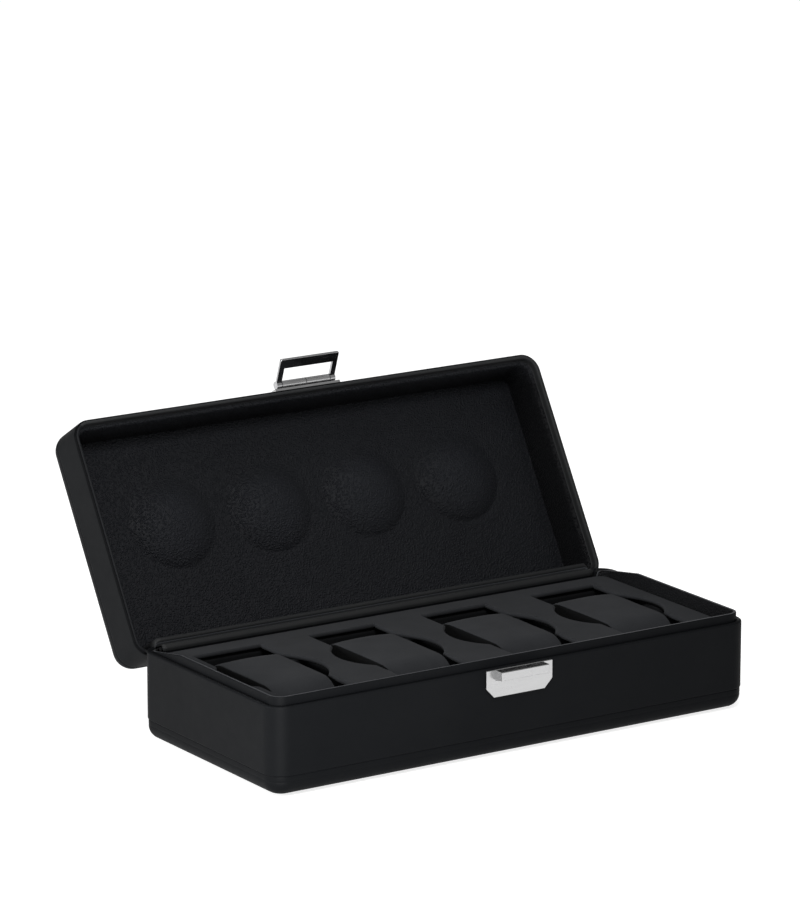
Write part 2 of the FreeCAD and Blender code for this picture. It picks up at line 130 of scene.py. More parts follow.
def arc(cx, cz, r, a0, a1, n):
    return [(cx + r * math.cos(math.radians(a0 + (a1 - a0) * i / n)),
             cz + r * math.sin(math.radians(a0 + (a1 - a0) * i / n))) for i in range(n + 1)]


def wobble(P, amp, size, seed):
    """Small smooth unevenness of a hand-covered surface."""
    shape = P.shape
    flat = P.reshape(-1, 3)
    out = np.array([noise.noise(Vector((p[0] / size + seed, p[1] / size, p[2] / size))) for p in flat])
    return (out * amp).reshape(shape[:-1])


a_open = math.radians(OPEN_DEG)
CA, SA = math.cos(a_open), math.sin(a_open)


def to_open(V):
    """Closed lid coordinates (mm) to the stored open pose."""
    V = np.asarray(V, float).copy()
    dy, dz = V[..., 1] - HINGE_Y, V[..., 2] - HINGE_Z
    V[..., 1] = HINGE_Y + dy * CA + dz * SA
    V[..., 2] = HINGE_Z - dy * SA + dz * CA
    return V


def smoothstep(a, b, x):
    t = np.clip((x - a) / (b - a), 0, 1)
    return t * t * (3 - 2 * t)


# ---- materials -------------------------------------------------------------------
class Mat:
    def __init__(self, name):
        self.m = bpy.data.materials.new(name)
        self.m.use_nodes = True
        self.t = self.m.node_tree
        self.b = self.t.nodes["Principled BSDF"]
        self.co = self.t.nodes.new("ShaderNodeTexCoord").outputs["Object"]

    def new(self, kind, **kw):
        n = self.t.nodes.new(kind)
        for k, v in kw.items():
            if k in n.inputs:
                n.inputs[k].default_value = v
            else:
                setattr(n, k, v)
        return n

    def link(self, a, b):
        self.t.links.new(a, b)

    def mapped(self, scale):
        n = self.new("ShaderNodeMapping")
        n.inputs["Scale"].default_value = scale
        self.link(self.co, n.inputs["Vector"])
        return n.outputs["Vector"]

    def noise(self, scale, detail=3.0, rough=0.5, vec=None):
        n = self.new("ShaderNodeTexNoise", Scale=scale, Detail=detail, Roughness=rough)
        self.link(vec or self.co, n.inputs["Vector"])
        return n.outputs["Fac"]

    def vec_noise(self, scale, amount):
        n = self.new("ShaderNodeTexNoise", Scale=scale, Detail=2.0)
        self.link(self.co, n.inputs["Vector"])
        s = self.new("ShaderNodeVectorMath", operation="SUBTRACT")
        self.link(n.outputs["Color"], s.inputs[0])
        s.inputs[1].default_value = (0.5, 0.5, 0.5)
        k = self.new("ShaderNodeVectorMath", operation="SCALE")
        self.link(s.outputs[0], k.inputs[0])
        k.inputs["Scale"].default_value = amount
        a = self.new("ShaderNodeVectorMath", operation="ADD")
        self.link(self.co, a.inputs[0])
        self.link(k.outputs[0], a.inputs[1])
        return a.outputs[0]

    def voronoi(self, scale, feature="F1", vec=None, smooth=0.6, out="Distance"):
        n = self.new("ShaderNodeTexVoronoi", feature=feature, Scale=scale)
        if feature == "SMOOTH_F1":
            n.inputs["Smoothness"].default_value = smooth
        self.link(vec or self.co, n.inputs["Vector"])
        return n.outputs[out]

    def math(self, op, a, b=None, clamp=False):
        n = self.new("ShaderNodeMath", operation=op, use_clamp=clamp)
        for i, v in enumerate((a, b)):
            if v is None:
                continue
            if isinstance(v, (int, float)):
                n.inputs[i].default_value = v
            else:
                self.link(v, n.inputs[i])
        return n.outputs[0]

    def ramp(self, fac, stops):
        n = self.new("ShaderNodeValToRGB")
        e = n.color_ramp.elements
        while len(e) < len(stops):
            e.new(0.5)
        for el, (p, c) in zip(e, stops):
            el.position = p
            el.color = (*c, 1.0) if len(c) == 3 else c
        self.link(fac, n.inputs["Fac"])
        return n.outputs["Color"]

    def span(self, fac, lo, hi, a=0.0, b=1.0):
        n = self.new("ShaderNodeMapRange")
        n.inputs["From Min"].default_value = a
        n.inputs["From Max"].default_value = b
        n.inputs["To Min"].default_value = lo
        n.inputs["To Max"].default_value = hi
        self.link(fac, n.inputs["Value"])
        return n.outputs["Result"]

    def bump(self, height, strength, distance, normal=None):
        n = self.new("ShaderNodeBump")
        n.inputs["Strength"].default_value = strength
        n.inputs["Distance"].default_value = distance
        self.link(height, n.inputs["Height"])
        if normal is not None:
            self.link(normal, n.inputs["Normal"])
        return n.outputs["Normal"]

    def set(self, **kw):
        for k, v in kw.items():
            self.b.inputs[k.replace("_", " ")].default_value = v
        return self


def painted_light_top(k, col, lift):
    """Painted light: leather colour made paler towards the top of the open lid (its free edge), then warmed to cancel a
    blue cast.
    """
    if not lift:
        return col
    sep = k.new("ShaderNodeSeparateXYZ")
    k.link(k.co, sep.inputs[0])
    f = k.new("ShaderNodeMapRange", interpolation_type="SMOOTHSTEP")
    for key, v in (("From Min", 0.146), ("From Max", 0.166), ("To Min", 1.0), ("To Max", 1.0 + lift)):
        f.inputs[key].default_value = v
    k.link(sep.outputs["Z"], f.inputs["Value"])
    n = k.new("ShaderNodeVectorMath", operation="SCALE")
    k.link(col, n.inputs[0])
    k.link(f.outputs["Result"], n.inputs["Scale"])
    warm = k.new("ShaderNodeVectorMath", operation="MULTIPLY")
    k.link(n.outputs[0], warm.inputs[0])
    warm.inputs[1].default_value = (1.05, 1.0, 0.91)
    return warm.outputs[0]


def painted_light_domes(k, col, dome_painted_light):
    """Painted light: lining colour made a little paler where it bulges out of the panel's plane."""
    if not dome_painted_light:
        return col
    d = k.new("ShaderNodeVectorMath", operation="DOT_PRODUCT")
    k.link(k.co, d.inputs[0])
    d.inputs[1].default_value = (0.0, -SA, -CA)
    f = k.new("ShaderNodeMapRange", interpolation_type="SMOOTHSTEP")
    for key, v in (("From Min", -0.0655), ("From Max", -0.0598), ("To Min", 1.0), ("To Max", 1.0 + dome_painted_light)):
        f.inputs[key].default_value = v
    k.link(d.outputs["Value"], f.inputs["Value"])
    n = k.new("ShaderNodeVectorMath", operation="SCALE")
    k.link(col, n.inputs[0])
    k.link(f.outputs["Result"], n.inputs["Scale"])
    return n.outputs[0]


def mat_leather_smooth(name="leather_outer", dark=0.64, level=0.037, lift=0.0):
    """Fine-grained calf: tiny cells, faint pores, soft colour drift."""
    k = Mat(name)
    warp = k.vec_noise(420.0, 0.0009)
    cells = k.voronoi(1250.0, "DISTANCE_TO_EDGE", warp)
    fine = k.noise(2600.0, 4.0, 0.6)
    drift = k.noise(22.0, 3.0, 0.55)
    base = [(0.25, (0.0036, 0.0040, 0.0047)), (0.6, (0.0044, 0.0048, 0.0055)), (0.85, (0.0052, 0.0056, 0.0063))]
    col = k.ramp(drift, [(p, tuple(v * dark for v in c)) for p, c in base])
    # the lift amount paints light: the colour turns paler towards the top of the open lid
    k.link(painted_light_top(k, col, lift), k.b.inputs["Base Color"])
    r = k.span(k.noise(160.0, 3.0), 0.50, 0.62)
    k.link(r, k.b.inputs["Roughness"])
    h = k.math("ADD", k.span(cells, 0.0, 1.0, 0.0, 0.25), k.math("MULTIPLY", fine, 0.5))
    k.link(k.bump(h, 0.16, 0.00012), k.b.inputs["Normal"])
    k.set(Specular_IOR_Level=level)
    return k.m


def mat_leather_pebble(name="leather_lining", dark=0.75, level=0.13, lift=0.0, dome_painted_light=0.0):
    """Pebble-grain lining: rounded grains about a millimetre across with creases between."""
    k = Mat(name)
    warp = k.vec_noise(300.0, 0.0007)
    grain = k.voronoi(860.0, "SMOOTH_F1", warp, 0.3)
    edge = k.voronoi(860.0, "DISTANCE_TO_EDGE", warp)
    fine = k.noise(2400.0, 3.0, 0.6)
    drift = k.noise(16.0, 3.0, 0.5)
    base = [(0.25, (0.0066, 0.0074, 0.0096)), (0.55, (0.0080, 0.0089, 0.0113)), (0.85, (0.0094, 0.0104, 0.0129))]
    col = k.ramp(drift, [(p, tuple(v * dark for v in c)) for p, c in base])
    crease = k.ramp(edge, [(0.0, (0.55, 0.55, 0.56)), (0.16, (1.0, 1.0, 1.0))])
    mix = k.new("ShaderNodeMixRGB", blend_type="MULTIPLY")
    mix.inputs["Fac"].default_value = 0.9
    k.link(col, mix.inputs[1])
    k.link(crease, mix.inputs[2])
    # the lift and dome amounts paint light: paler towards the top of the open lid and on the domes
    k.link(painted_light_domes(k, painted_light_top(k, mix.outputs[0], lift), dome_painted_light), k.b.inputs["Base Color"])
    k.link(k.span(grain, 0.50, 0.66), k.b.inputs["Roughness"])
    h = k.math("ADD", k.span(grain, 1.0, 0.0, 0.0, 0.6), k.math("MULTIPLY", fine, 0.16))
    k.link(k.bump(h, 0.9, 0.00075), k.b.inputs["Normal"])
    k.set(Specular_IOR_Level=level)
    return k.m


def mat_suede(name, lift=1.0):
    """Napped suede: short fibres, cloudy brush marks, soft sheen."""
    k = Mat(name)
    cloud = k.noise(38.0, 4.0, 0.6, k.vec_noise(60.0, 0.006))
    nap = k.noise(1500.0, 4.0, 0.7)
    fibre = k.noise(900.0, 5.0, 0.75, k.mapped((1.0, 0.35, 1.0)))
    base = [(0.28, (0.0252, 0.0264, 0.0288)), (0.52, (0.0290, 0.0303, 0.0330)), (0.8, (0.0334, 0.0348, 0.0376))]
    col = k.ramp(cloud, [(p, tuple(v * lift for v in c)) for p, c in base])
    speck = k.ramp(nap, [(0.3, (0.82, 0.82, 0.82)), (0.7, (1.14, 1.14, 1.14))])
    mix = k.new("ShaderNodeMixRGB", blend_type="MULTIPLY")
    mix.inputs["Fac"].default_value = 0.8
    k.link(col, mix.inputs[1])
    k.link(speck, mix.inputs[2])
    k.link(mix.outputs[0], k.b.inputs["Base Color"])
    k.link(k.span(nap, 0.88, 1.0), k.b.inputs["Roughness"])
    h = k.math("ADD", fibre, k.math("MULTIPLY", nap, 0.6))
    k.link(k.bump(h, 0.30, 0.00018), k.b.inputs["Normal"])
    k.set(Specular_IOR_Level=0.03, Sheen_Weight=0.02, Sheen_Roughness=0.5)
    return k.m


def mat_edge_highlight():
    """Top edge of the lip: a painted highlight, much paler and shinier than the leather."""
    k = Mat("leather_edge_highlight")
    f = k.noise(500.0, 4.0, 0.6, k.mapped((0.3, 0.3, 1.0)))
    k.link(k.ramp(f, [(0.3, (0.024, 0.025, 0.028)), (0.7, (0.034, 0.035, 0.038))]), k.b.inputs["Base Color"])
    k.link(k.span(f, 0.38, 0.52), k.b.inputs["Roughness"])
    k.link(k.bump(f, 0.1, 0.0001), k.b.inputs["Normal"])
    k.set(Specular_IOR_Level=0.3)
    return k.m


def mat_felt():
    k = Mat("felt")
    fib = k.noise(700.0, 6.0, 0.8)
    k.link(k.ramp(fib, [(0.3, (0.010, 0.010, 0.011)), (0.75, (0.030, 0.030, 0.032))]), k.b.inputs["Base Color"])
    k.link(k.span(fib, 0.9, 1.0), k.b.inputs["Roughness"])
    k.link(k.bump(fib, 0.5, 0.0004), k.b.inputs["Normal"])
    k.set(Specular_IOR_Level=0.1, Sheen_Weight=0.1)
    return k.m


def mat_nickel(name="nickel", tint=(0.44, 0.44, 0.443), r0=0.20, r1=0.32):
    """Polished plated metal: faint buffing lines and cloudy haze."""
    k = Mat(name)
    buff = k.noise(900.0, 3.0, 0.6, k.mapped((0.06, 1.0, 1.0)))
    haze = k.noise(120.0, 3.0, 0.5)
    lo = tuple(v * 0.95 for v in tint)
    k.link(k.ramp(haze, [(0.3, lo), (0.7, tint)]), k.b.inputs["Base Color"])
    k.link(k.span(k.math("MULTIPLY", buff, haze), r0, r1, 0.1, 0.45), k.b.inputs["Roughness"])
    k.link(k.bump(buff, 0.05, 0.00004), k.b.inputs["Normal"])
    k.set(Metallic=1.0)
    return k.m


def mat_black_steel():
    k = Mat("steel_black")
    orange = k.noise(1300.0, 3.0, 0.5)
    drift = k.noise(60.0, 3.0)
    k.link(k.ramp(drift, [(0.3, (0.0035, 0.0035, 0.0040)), (0.75, (0.0060, 0.0060, 0.0066))]), k.b.inputs["Base Color"])
    k.link(k.span(drift, 0.55, 0.7), k.b.inputs["Roughness"])
    k.link(k.bump(orange, 0.12, 0.00006), k.b.inputs["Normal"])
    k.set(Specular_IOR_Level=0.10)
    return k.m


def mat_steel():
    k = Mat("steel")
    br = k.noise(800.0, 4.0, 0.6, k.mapped((0.1, 1.0, 1.0)))
    k.link(k.ramp(br, [(0.3, (0.42, 0.42, 0.43)), (0.7, (0.58, 0.58, 0.59))]), k.b.inputs["Base Color"])
    k.link(k.span(br, 0.28, 0.42), k.b.inputs["Roughness"])
    k.set(Metallic=1.0)
    return k.m


def mat_board():
    k = Mat("board")
    f = k.noise(500.0, 6.0, 0.75)
    d = k.noise(30.0, 2.0)
    k.link(k.ramp(k.math("ADD", k.math("MULTIPLY", f, 0.7), k.math("MULTIPLY", d, 0.3)),
                  [(0.3, (0.006, 0.006, 0.006)), (0.7, (0.016, 0.0155, 0.015))]), k.b.inputs["Base Color"])
    k.link(k.span(f, 0.75, 0.95), k.b.inputs["Roughness"])
    k.link(k.bump(f, 0.3, 0.0003), k.b.inputs["Normal"])
    return k.m


def mat_foam():
    k = Mat("foam")
    c = k.voronoi(1400.0, "DISTANCE_TO_EDGE")
    k.link(k.ramp(c, [(0.0, (0.10, 0.10, 0.10)), (0.3, (0.26, 0.26, 0.26))]), k.b.inputs["Base Color"])
    k.link(k.span(c, 1.0, 0.8, 0.0, 0.3), k.b.inputs["Roughness"])
    k.link(k.bump(c, 0.4, 0.0004), k.b.inputs["Normal"])
    return k.m


M_OUT = mat_leather_smooth()
# Painted light: the lid panel's lining is made paler on the domes.
M_LIN = mat_leather_pebble(dome_painted_light=0.35)
# Painted shade: a darker copy of the lining leather for the lid's inner walls and the lip's inner face; its lift paints
# light, paler towards the top of the open lid.
M_LINW = mat_leather_pebble("leather_lining_wall", 0.42, 0.08, 4.0)
# Painted light: lighter copies of the smooth leather for the rolled rims, the skirt's roll and the hinge strip (the
# first, paler still towards the top of the open lid), and a less bright one for the rolls on the left side.
M_ROLL = mat_leather_smooth("leather_roll", 2.2, 0.14, 0.7)
M_ROLLS = mat_leather_smooth("leather_roll_side", 1.3, 0.085)
# Painted shade: a slightly darker copy of the outer leather, with less shine, for the bottom pan.
M_PAN = mat_leather_smooth("leather_bottom", 0.60, 0.034)
# Painted shade: much darker copies of the outer leather for the groove in the lid's rim, a less dark one on the left
# side.
M_GROOVE = mat_leather_smooth("leather_groove", 0.22, 0.012)
M_GROOVES = mat_leather_smooth("leather_groove_side", 0.36, 0.02)
# Painted light: a much lighter copy of the smooth leather with a faint glow, though it is no lamp, for the skirt's
# inner face in the hinge slit, so the slit does not read as a black line.
M_FOLD_GLOW = mat_leather_smooth("leather_fold_glow", 12.0, 0.3)
M_FOLD_GLOW.node_tree.nodes["Principled BSDF"].inputs["Emission Color"].default_value = (0.92, 0.96, 1.0, 1.0)
M_FOLD_GLOW.node_tree.nodes["Principled BSDF"].inputs["Emission Strength"].default_value = 0.011
M_LIP_HIGHLIGHT = mat_edge_highlight()
M_SUEDE = mat_suede("suede", 0.59)
M_PILLOW = mat_suede("suede_pillow", 0.665)
# Painted shade: a near-black copy of the suede for the pillows' sides and seam edges.
M_SIDE = mat_suede("suede_side", 0.07)
# Painted shade: a dark copy of the suede inside the wells (rails and floor).
M_WELL = mat_suede("suede_well", 0.16)
M_DIV = mat_suede("suede_divider", 0.5)
M_FELT = mat_felt()
M_NICKEL = mat_nickel()
M_HASP = mat_nickel("nickel_hasp", (0.44, 0.44, 0.447), 0.08, 0.16)
M_BLACK = mat_black_steel()
M_STEEL = mat_steel()
M_BOARD = mat_board()
M_FOAM = mat_foam()


def wear(ob, m):
    ob.data.materials.clear()
    ob.data.materials.append(m)


node_mat = {
    "base_wall_leather": M_OUT, "base_bottom_leather": M_PAN, "base_sole": M_FELT,
    "base_liner_frame": M_LIP_HIGHLIGHT, "insert_panel": M_SUEDE, "well_rail_front": M_WELL, "well_rail_back": M_WELL,
    "well_floor": M_WELL, "catch_plate": M_NICKEL, "catch_nose": M_NICKEL, "catch_studs": M_STEEL,
    "catch_back_plate": M_STEEL, "hinge_leaf_base": M_BLACK, "hinge_pin": M_STEEL, "hinge_screws_base": M_STEEL,
    "lid_board": M_BOARD, "lid_leather": M_OUT, "lid_lining_front": M_LINW, "lid_lining_back": M_LINW, "lid_lining_left": M_LINW, "lid_lining_right": M_LINW,
    "lid_lining_edge": M_LINW, "lid_lining_skirt": M_LINW, "hinge_gusset": M_LINW, "lid_panel_board": M_BOARD,
    "lid_panel_leather": M_LIN, "lid_dome_pads": M_FOAM, "hinge_leaf_lid": M_BLACK, "hinge_screws_lid": M_STEEL,
    "hasp_plate": M_NICKEL, "hasp_studs": M_STEEL, "hasp_back_plate": M_STEEL, "hasp_pin": M_STEEL, "hasp_frame": M_HASP,
}
for name, ob in nodes.items():
    if name in node_mat:
        wear(ob, node_mat[name])
    elif name.startswith("base_board"):
        wear(ob, M_BOARD)
    elif name.startswith("well_divider"):
        wear(ob, M_DIV)
    elif name.endswith("_foam"):
        wear(ob, M_FOAM)
    else:
        wear(ob, M_PILLOW)
for name in ("catch_plate", "catch_nose", "hasp_plate", "hasp_frame"):
    b = nodes[name].modifiers.new("edge", "BEVEL")
    b.width = 0.00018
    b.segments = 2
    b.limit_method = "ANGLE"
    b.angle_limit = math.radians(35)


def finish_piece(ob, body, mat, slot, *stands_for):
    wear(ob, mat)
    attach(ob, body)
    if stands_for:
        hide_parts(*stands_for)
    return ob


# ---- base leather: walls with a rolled rim, bottom pan below a seam -----------------
def back_drop(x, y, z):
    """The rim falls to the lowered back wall between the corner posts."""
    down = smoothstep(NOTCH_X + 1.2, NOTCH_X - 1.6, np.abs(x)) * smoothstep(58.0, 62.0, y)
    top = Z_RIM - (Z_RIM - Z_BACK) * down
    return np.where(z > 38.0, 38.0 + (z - 38.0) * (top - 38.0) / (Z_RIM - 38.0), z)


path_base = outline(HX, -HY, HY, R_CORNER)
rim = arc(1.15, Z_RIM - 1.15, 1.15, 180, 90, 8)
wall_prof = ([(1.0, 40.0), (1.0, Z_SEAM + 0.4), (0.95, Z_SEAM), (0.7, Z_SEAM - 0.15)]
             + arc(0.75, Z_SEAM + 0.6, 0.75, 270, 180, 6)[1:]
             + [(0.0, Z_SEAM + 1.0), (0.0, Z_SEAM + 2.0), (0.0, 20.0), (0.0, 27.0), (0.0, 34.0), (0.0, 41.0), (0.0, 46.0), (0.0, 49.2), (0.0, 50.3)]
             + rim + [(1.9, Z_RIM - 0.03), (2.4, Z_RIM - 0.22), (2.75, Z_RIM - 0.6), (2.92, Z_RIM - 1.2), (2.95, Z_RIM - 2.6), (2.95, Z_RIM - 6.0), (1.0, Z_RIM - 6.0)])


def wall_depth(C, N, d, z):
    # the lowered back wall has a broad flat top and gives way to the open lid at its outer edge
    back = smoothstep(NOTCH_X + 1.2, NOTCH_X - 1.6, np.abs(C[:, None, 0])) * (N[:, None, 1] > 0.99)
    rimmost = smoothstep(Z_RIM - 6.0, Z_RIM - 0.1, z)
    outer = np.clip(1.0 - d / 1.2, 0, 1)
    d = d + back * rimmost * outer * 0.55
    inner = np.clip((d - 1.4) / 1.5, 0, 1)
    return d + back * inner * 2.0


P = sweep(path_base, wall_prof, back_drop, wall_depth)
n, m, _ = P.shape
N3 = np.zeros_like(P)
N3[:, :, :2] = path_base[1][:, None, :]
P += N3 * np.minimum(wobble(P, 0.10, 38.0, 3.1), 0.0)[..., None]
wall = outward(add_object("base_wall_cover", P.reshape(-1, 3), grid_faces(n, m, True, True)))
finish_piece(wall, "base", M_OUT, "leather_outer", "base_wall_leather")

path_pan = outline(HX - 0.5, -HY + 0.5, HY - 0.5, R_CORNER - 0.5)
pan_prof = ([(1.0, Z_SEAM + 0.05), (0.5, Z_SEAM + 0.05), (0.25, Z_SEAM - 0.1), (0.05, Z_SEAM - 0.5), (0.0, Z_SEAM - 1.0), (0.0, Z_SEAM - 2.4),
             (0.0, Z_SEAM - 3.05), (0.12, Z_SEAM - 3.35), (0.12, Z_SEAM - 3.5), (0.02, Z_SEAM - 3.85)]
            + [(7.5 - 7.5 * math.cos(math.radians(a)), Z_SOLE + 7.5 - 7.5 * math.sin(math.radians(a))) for a in (5, 11, 18, 26, 34, 42, 50, 58, 66, 74, 82, 90)])
P = sweep(path_pan, pan_prof)
n, m, _ = P.shape
verts = list(P.reshape(-1, 3))
faces = grid_faces(n, m)
ring = [i * m + m - 1 for i in range(n)]
loop = P[:, -1, :].copy()
for s in (0.995, 0.97, 0.9, 0.75, 0.5, 0.25, 0.05):
    start = len(verts)
    verts += list(np.stack([loop[:, 0] * s, loop[:, 1] * s, np.full(n, Z_SOLE)], 1))
    faces += [(ring[i], ring[(i + 1) % n], start + (i + 1) % n, start + i) for i in range(n)]
    ring = [start + i for i in range(n)]
verts.append((0, 0, Z_SOLE))
faces += [(ring[i], ring[(i + 1) % n], len(verts) - 1) for i in range(n)]
pan = outward(add_object("base_bottom_cover", verts, faces))
so = pan.modifiers.new("thick", "SOLIDIFY")
so.thickness = 0.0008
so.offset = -1
finish_piece(pan, "base", M_PAN, "leather_outer", "base_bottom_leather")

# ---- inner lip: thin covered frame, lower towards the hinge --------------------------
def lip_top(x, y, z):
    top = np.interp(y, [-80, 32.0, 34.5, 64.0, 66.5, 80], [Z_LIP, Z_LIP, Z_LIP - 0.35, 51.5, 51.0, 51.0])
    down = smoothstep(NOTCH_X + 1.6, NOTCH_X - 0.6, np.abs(x)) * smoothstep(60.0, 62.0, y)
    top = top - (top - 45.2) * down
    return np.where(z > 46.0, 46.0 + (z - 46.0) * (top - 46.0) / (Z_LIP - 46.0), np.minimum(z, top))


path_lip = outline(HX - 3.05, -HY + 3.05, HY - 3.05, R_CORNER - 3.05, step=2.5)
lip_prof = ([(0.0, 44.1), (0.0, 47.0), (0.0, 50.0), (0.0, 53.0), (0.0, 55.0), (0.0, 55.8)] + arc(0.55, Z_LIP - 0.55, 0.55, 180, 90, 5)
            + [(0.8, Z_LIP), (1.1, Z_LIP)] + arc(1.35, Z_LIP - 0.55, 0.55, 90, 0, 5)
            + [(1.9, 55.8), (1.9, 55.0), (1.9, 53.0), (1.9, 50.0), (1.9, 47.0), (1.9, 44.1)])
P = sweep(path_lip, lip_prof, lip_top)
n, m, _ = P.shape
lip = outward(add_object("base_lip", P.reshape(-1, 3), grid_faces(n, m, True, True)))
finish_piece(lip, "base", M_OUT, "leather_lining", "base_liner_frame")
lip.data.materials.append(M_LIP_HIGHLIGHT)
lip.data.materials.append(M_LINW)
# The lip's top faces take the painted-highlight edge colour, and its inner faces take the painted-shade lining wall
# copy.
for k, poly in enumerate(lip.data.polygons):
    j = k % m
    if 10 <= j <= 15:
        poly.material_index = 1
    elif j > 15:
        poly.material_index = 2


# ---- suede insert panel with rolled cut-out edges -------------------------------------
def poly_spline(curve, pts):
    s = curve.splines.new("POLY")
    s.points.add(len(pts) - 1)
    for p, (x, y) in zip(s.points, pts):
        p.co = (x * MM, y * MM, 0, 1)
    s.use_cyclic_u = True


def rounded(pts, r, n=5):
    """Rounds the corners of a closed polygon."""
    out = []
    for i in range(len(pts)):
        a, b, c = (np.array(pts[(i + k) % len(pts)], float) for k in (-1, 0, 1))
        u, v = (a - b), (c - b)
        lu, lv = np.linalg.norm(u), np.linalg.norm(v)
        u, v = u / lu, v / lv
        k = min(r, 0.45 * lu, 0.45 * lv)
        p0, p1 = b + u * k, b + v * k
        for t in np.linspace(0, 1, n):
            q = (1 - t) ** 2 * p0 + 2 * t * (1 - t) * b + t * t * p1
            out.append(tuple(q))
    return out


def cutout(cx, inset):
    hw, hl = WELL_W / 2 + inset, WELL_L / 2 + inset
    R = R_FINGER + inset
    a0 = math.degrees(math.asin(min(1, math.sqrt(max(0, R * R - hw * hw)) / R)))
    pts = [(-hw, -hl), (hw, -hl)]
    right = [(R * math.cos(math.radians(a)), R * math.sin(math.radians(a))) for a in np.linspace(-a0, a0, 33)]
    left = [(R * math.cos(math.radians(a)), R * math.sin(math.radians(a))) for a in np.linspace(180 - a0, 180 + a0, 33)]
    pts = [(-hw, -hl), (hw, -hl)] + right + [(hw, hl), (-hw, hl)] + left
    soft = rounded(pts, 1.5, 4)
    return [(cx + x, WELL_Y + y) for x, y in soft]


BEV, T_SHEET = 1.2, 2.6
cu = bpy.data.curves.new("insert_cover", "CURVE")
cu.dimensions = "2D"
cu.fill_mode = "BOTH"
cu.extrude = (T_SHEET / 2 - BEV) * MM
cu.bevel_depth = BEV * MM
cu.bevel_resolution = 4
C, Nn, r = outline(154.7 - BEV, -65.7 + BEV, 65.4 - BEV, 5.0, step=8.0, narc=8)
poly_spline(cu, [tuple(c + r * k) for c, k in zip(C, Nn)])
for x in WELL_X:
    poly_spline(cu, cutout(x, BEV + 0.7))
tmp = bpy.data.objects.new("insert_tmp", cu)
scene.collection.objects.link(tmp)
bpy.context.view_layer.update()
me = bpy.data.meshes.new_from_object(tmp.evaluated_get(bpy.context.evaluated_depsgraph_get()))
me.name = "insert_cover"
bpy.data.objects.remove(tmp)
me.transform(Matrix.Translation((0, 0, (Z_INSERT - T_SHEET / 2) * MM)))
insert = bpy.data.objects.new("insert_cover", me)
scene.collection.objects.link(insert)
bm = bmesh.new()
bm.from_mesh(me)
bmesh.ops.remove_doubles(bm, verts=bm.verts, dist=1e-6)
bmesh.ops.recalc_face_normals(bm, faces=bm.faces)
bm.to_mesh(me)
bm.free()
me.shade_smooth()
ws = insert.modifiers.new("normals", "WEIGHTED_NORMAL")
ws.keep_sharp = True
finish_piece(insert, "base", M_SUEDE, "suede", "insert_panel")


# ---- wall behind the wells: covered rail with a soft upper edge -------------------------
RAIL_Y = 51.0
rail_prof = [(64.8, 7.1), (RAIL_Y, 7.1), (RAIL_Y, 14.0), (RAIL_Y, 24.0), (RAIL_Y, 34.0), (RAIL_Y, 42.6), (RAIL_Y, 43.4), (RAIL_Y + 0.1, 43.8),
             (RAIL_Y + 0.35, 44.1), (RAIL_Y + 0.8, 44.25), (RAIL_Y + 1.6, 44.3), (64.8, 44.3)]
xs = np.linspace(-149.9, 149.9, 90)
V = np.array([[(x, y, z) for y, z in rail_prof] for x in xs])
m = len(rail_prof)
faces = grid_faces(len(xs), m, False, True) + [tuple(range(m)), tuple((len(xs) - 1) * m + j for j in range(m))]
V[:, 1:-1, 1] += np.minimum(wobble(V, 0.25, 24.0, 5.5), 0.0)[:, 1:-1] * -1.0
rail = outward(add_object("well_wall_back", V.reshape(-1, 3), faces))
finish_piece(rail, "base", M_WELL, "suede", "well_rail_back")


# ---- pillows: sewn suede covers swollen over foam --------------------------------------
def pillow_loop(a, b, o):
    """Side outline of a pillow: nearly flat top, tighter at the front than at the back."""
    pts = []
    rb, rf, ru = 17.5 - o, 16.5 - o, 12.0 - o
    for cy, cz, r, a0, end, n in ((a - rb, b - rb, rb, 0, (-a + rf, b), 20), (-a + rf, b - rf, rf, 90, (-a, -b + ru), 6),
                                  (-a + ru, -b + ru, ru, 180, (a - ru, -b), 20), (a - ru, -b + ru, ru, 270, (a, b - rb), 5)):
        for i in range(11):
            t = math.radians(a0 + 9.0 * i)
            pts.append((cy + r * math.cos(t), cz + r * math.sin(t)))
        y0, z0 = pts[-1]
        pts += [(y0 + (end[0] - y0) * i / n, z0 + (end[1] - z0) * i / n) for i in range(1, n)]
    return np.array(pts)


def pillow_grid(nx=19):
    """Rows across the width, columns round the outline; the seam runs round both side edges."""
    hw = PILLOW_W / 2 + 0.8
    a, b, re = PILLOW_L / 2 - 0.4, (PILLOW_Z1 - PILLOW_Z0) / 2 - 0.5, 0.8
    xs = [(-hw, re), (-hw + 0.13 * re, 0.5 * re), (-hw + 0.5 * re, 0.13 * re), (-hw + re, 0.0)]
    mid = np.linspace(-(hw - re), hw - re, nx)[1:-1]
    prof = xs + [(x, 0.0) for x in mid] + [(-x, o) for x, o in reversed(xs)]
    rows = []
    for x, o in prof:
        L = pillow_loop(a - o, b - o, o)
        crown = 0.25 * np.clip(1 - (L[:, 0] / a) ** 2, 0, 1) * (L[:, 1] > 0)
        crown = crown + 0.9 * (1 - (x / hw) ** 2) * smoothstep(0.1 * b, 0.75 * b, L[:, 1])
        rows.append(np.stack([np.full(len(L), x), L[:, 0], L[:, 1] + crown], 1))
    return np.array(rows)


